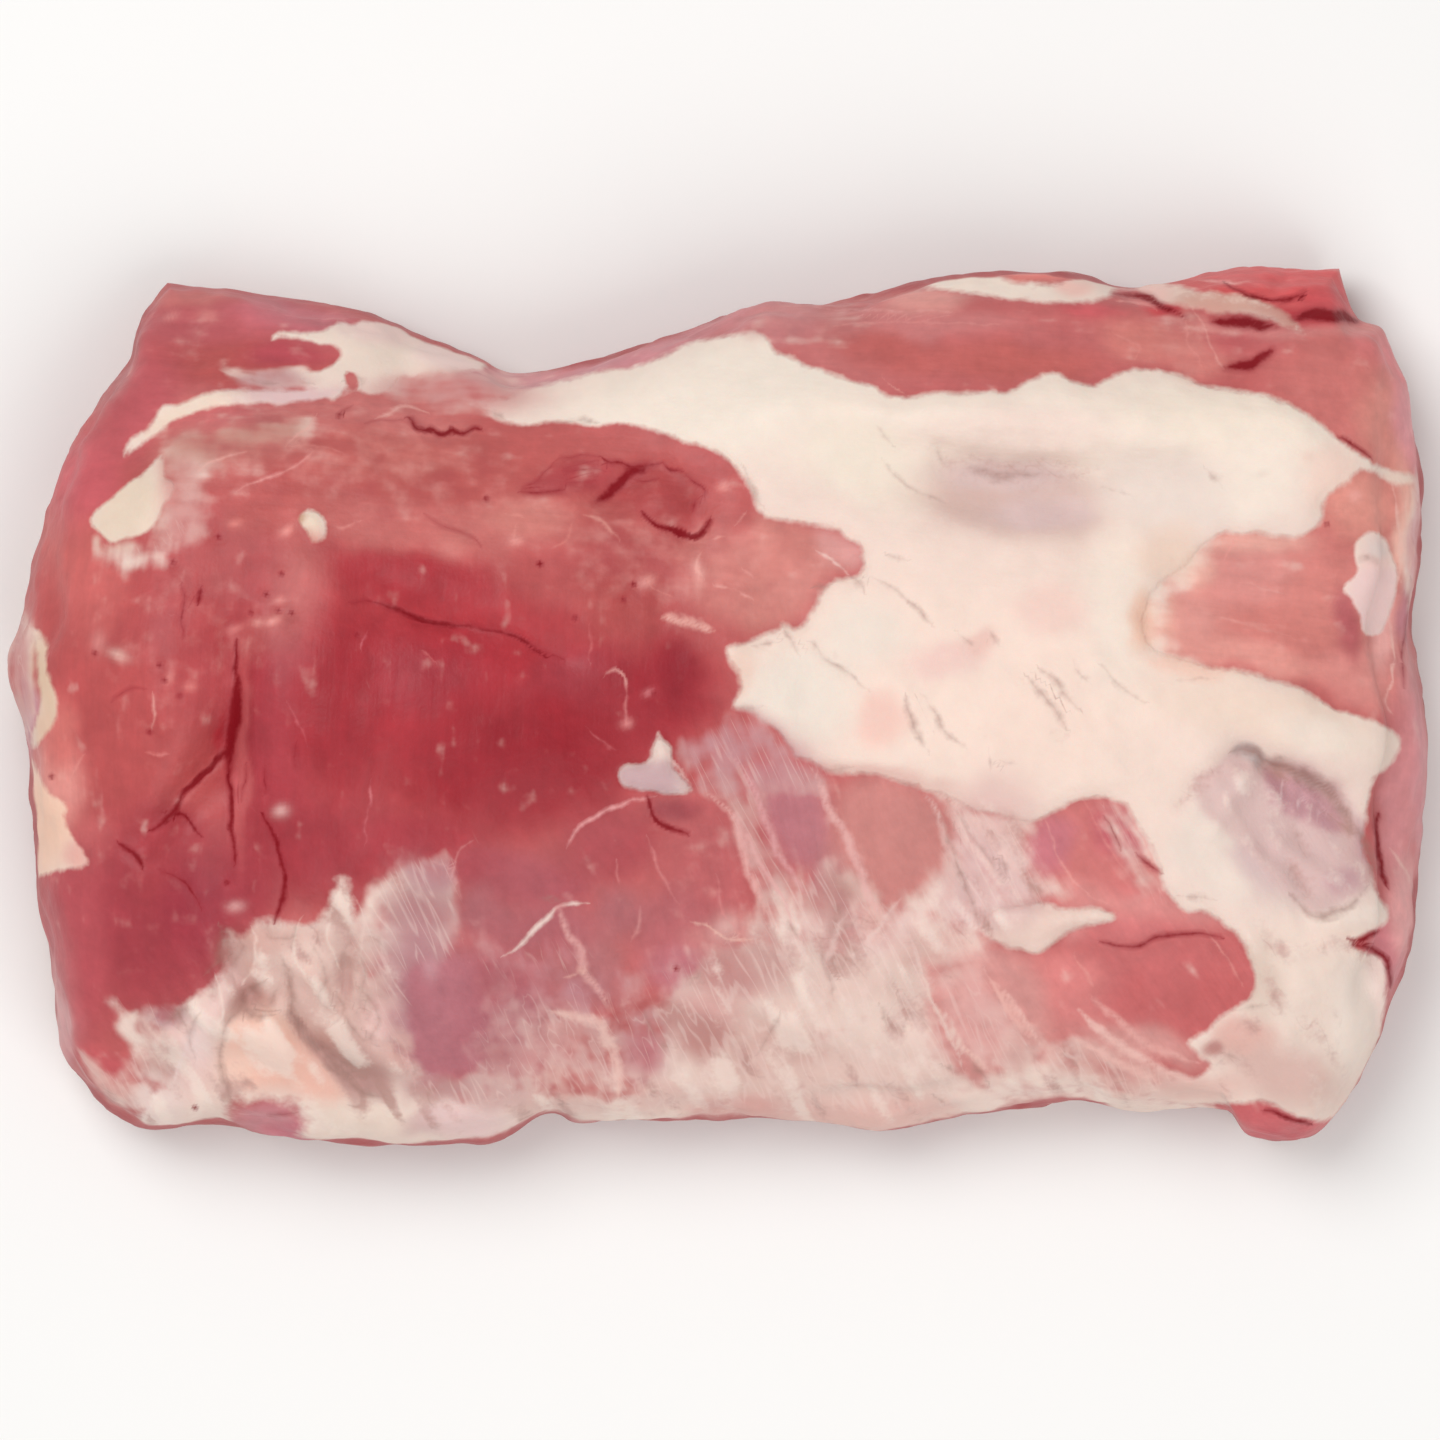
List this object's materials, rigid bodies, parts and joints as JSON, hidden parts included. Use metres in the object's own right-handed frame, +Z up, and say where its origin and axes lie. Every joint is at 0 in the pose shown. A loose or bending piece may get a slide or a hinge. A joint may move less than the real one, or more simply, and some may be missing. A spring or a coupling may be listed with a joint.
{
  "type": "raw boneless pork neck",
  "caption": "Raw boneless pork neck, untied, lying flat with its fat side up: an uneven slab of muscles with a fold where one layer lies over another.",
  "frame": {"origin": "on the surface the meat lies on, under the middle of its outline", "axes": "+X along the neck towards the end with the fold and the thick fat, +Y across it towards the flap and the notch, +Z up"},
  "size_m": [0.2834, 0.1756, 0.0592],
  "materials": {
    "raw_meat": "moist raw pork: red muscle with cream fat over the right half of its top"
  },
  "bodies": {
    "root": {"pork_neck": "raw_meat"}
  },
  "joints": []
}
